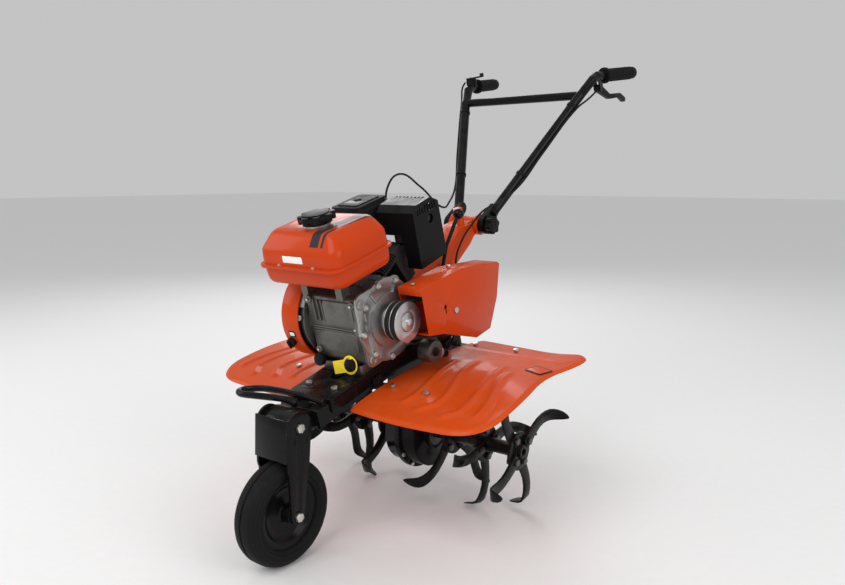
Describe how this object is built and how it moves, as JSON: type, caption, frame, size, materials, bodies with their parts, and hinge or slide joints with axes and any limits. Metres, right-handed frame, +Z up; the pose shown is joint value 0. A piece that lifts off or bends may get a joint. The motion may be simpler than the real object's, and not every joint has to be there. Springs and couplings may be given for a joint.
{
  "type": "garden tiller",
  "caption": "Walk-behind garden tiller with a petrol engine over the frame, belt guard, tine rotors under two fenders, a front wheel and a tilting two-arm handlebar.",
  "frame": {"origin": "on the floor, under the middle of the parked machine's bounding box", "axes": "+X operator's left (belt side), +Y towards the handles, +Z up"},
  "size_m": [0.804, 1.3114, 1.127],
  "materials": {
    "orange_paint": "gloss",
    "black_paint": "gloss",
    "cast_alloy": "satin",
    "dark_metal": "satin",
    "bright_steel": "satin",
    "black_plastic": "matte",
    "rubber": "matte",
    "tyre": "matte",
    "steel_dark": "satin"
  },
  "bodies": {
    "chassis": {"frame_rails": "black_paint", "engine_bed": "black_paint", "front_bracket": "black_paint", "lift_hoop": "black_paint", "gearbox_left": "black_paint", "gearbox_right": "black_paint", "gear_bearings": "bright_steel", "drive_chain": "steel_dark", "crankcase": "cast_alloy", "side_cover": "cast_alloy", "cylinder_block": "dark_metal", "rocker_cover": "dark_metal", "fan_housing": "orange_paint", "starter_cover": "black_plastic", "fuel_tank": "orange_paint", "muffler": "dark_metal", "muffler_shroud": "black_paint", "air_filter": "black_plastic", "carburettor": "cast_alloy", "spark_plug": "black_plastic", "oil_plugs": "black_plastic", "belt_cover": "orange_paint", "belt_cover_back": "orange_paint", "cover_screws": "bright_steel", "v_belts": "rubber", "handle_column": "orange_paint", "fender_left": "orange_paint", "fender_right": "orange_paint", "fender_brackets": "black_paint", "chassis_bolts": "bright_steel", "hitch_bracket": "black_paint", "lower_cables": "rubber"},
    "crank": {"crankshaft": "bright_steel", "drive_pulley": "bright_steel", "flywheel": "steel_dark"},
    "input": {"input_shaft": "bright_steel", "driven_pulley": "steel_dark"},
    "counter": {"counter_gear": "steel_dark"},
    "rotor": {"output_shaft": "steel_dark", "output_sprocket": "steel_dark", "tines_left": "black_paint", "tines_right": "black_paint", "tine_bolts": "bright_steel"},
    "fork": {"wheel_fork": "black_paint", "fork_bolts": "bright_steel"},
    "wheel": {"wheel_rim": "black_paint", "wheel_tyre": "tyre"},
    "handlebar": {"handlebar": "black_paint", "hand_grips": "rubber", "upper_cables": "rubber"},
    "clutch": {"clutch_lever": "black_plastic"},
    "throttle": {"throttle_lever": "black_plastic"},
    "idler_arm": {"idler_arm": "black_paint"},
    "idler": {"idler_pulley": "steel_dark"},
    "starter": {"starter_grip": "black_plastic"},
    "cap": {"fuel_cap": "black_plastic"},
    "switch": {"engine_switch": "black_plastic"},
    "shifter": {"gear_lever": "black_paint"},
    "knob": {"clamp_knob": "black_plastic"},
    "stake": {"drag_stake": "black_paint"}
  },
  "joints": [
    {"name": "crank_spin", "type": "hinge", "parent": "chassis", "child": "crank", "pos_m": [0, -0.30711, 0.49763], "axis": [1, 0, 0], "continuous": true},
    {"name": "rotor_spin", "type": "hinge", "parent": "chassis", "child": "rotor", "pos_m": [0, -0.0655, 0.169], "axis": [1, 0, 0], "continuous": true},
    {"name": "counter_spin", "type": "hinge", "parent": "chassis", "child": "counter", "pos_m": [0, -0.06901, 0.43433], "axis": [1, 0, 0], "continuous": true},
    {"name": "input_spin", "type": "hinge", "parent": "chassis", "child": "input", "pos_m": [0, -0.06988, 0.50033], "axis": [1, 0, 0], "continuous": true},
    {"name": "fork_swing", "type": "hinge", "parent": "chassis", "child": "fork", "pos_m": [0, -0.53302, 0.30068], "axis": [1, 0, 0], "range_deg": [-60, 0]},
    {"name": "wheel_spin", "type": "hinge", "parent": "fork", "child": "wheel", "pos_m": [0, -0.5415, 0.113], "axis": [1, 0, 0], "continuous": true},
    {"name": "handlebar_tilt", "type": "hinge", "parent": "chassis", "child": "handlebar", "pos_m": [0, 0.13909, 0.68001], "axis": [1, 0, 0], "range_deg": [-12, 15]},
    {"name": "clutch_squeeze", "type": "hinge", "parent": "handlebar", "child": "clutch", "pos_m": [0.208, 0.47904, 1.05057], "axis": [1, 0, 0], "range_deg": [0, 14], "stiffness_Nm_per_rad": 2, "springref_deg": -17.19},
    {"name": "throttle_turn", "type": "hinge", "parent": "handlebar", "child": "throttle", "pos_m": [-0.208, 0.46593, 1.0822], "axis": [0, -0.2723, 0.9622], "range_deg": [0, 60]},
    {"name": "idler_swing", "type": "hinge", "parent": "chassis", "child": "idler_arm", "pos_m": [0, -0.13746, 0.39391], "axis": [1, 0, 0], "range_deg": [-6, 0]},
    {"name": "idler_spin", "type": "hinge", "parent": "idler_arm", "child": "idler", "pos_m": [0, -0.20535, 0.41346], "axis": [1, 0, 0], "continuous": true},
    {"name": "starter_pull", "type": "slide", "parent": "chassis", "child": "starter", "axis": [0, 0.3778, 0.9259], "range_m": [0, 0.5], "stiffness_N_per_m": 20, "springref_m": -0.5},
    {"name": "fuel_cap_turn", "type": "hinge", "parent": "chassis", "child": "cap", "pos_m": [0.008, -0.42964, 0.7103], "axis": [0, -0.2723, 0.9622], "range_deg": [0, 90]},
    {"name": "switch_turn", "type": "hinge", "parent": "chassis", "child": "switch", "pos_m": [-0.112, -0.30711, 0.49763], "axis": [0, -0.831, -0.5563], "range_deg": [0, 60]},
    {"name": "gear_shift", "type": "hinge", "parent": "chassis", "child": "shifter", "pos_m": [0, -0.05241, 0.56347], "axis": [1, 0, 0], "range_deg": [-12, 12]},
    {"name": "clamp_turn", "type": "hinge", "parent": "chassis", "child": "knob", "pos_m": [0, 0.13909, 0.68001], "axis": [1, 0, 0], "continuous": true},
    {"name": "stake_slide", "type": "slide", "parent": "chassis", "child": "stake", "axis": [0, -0.2723, 0.9622], "range_m": [-0.09, 0.06]}
  ],
  "couplings": [
    {"joint": "counter_spin", "follows": "rotor_spin", "ratio": 4},
    {"joint": "input_spin", "follows": "rotor_spin", "ratio": -18},
    {"joint": "idler_swing", "follows": "clutch_squeeze", "ratio": -0.42857}
  ]
}
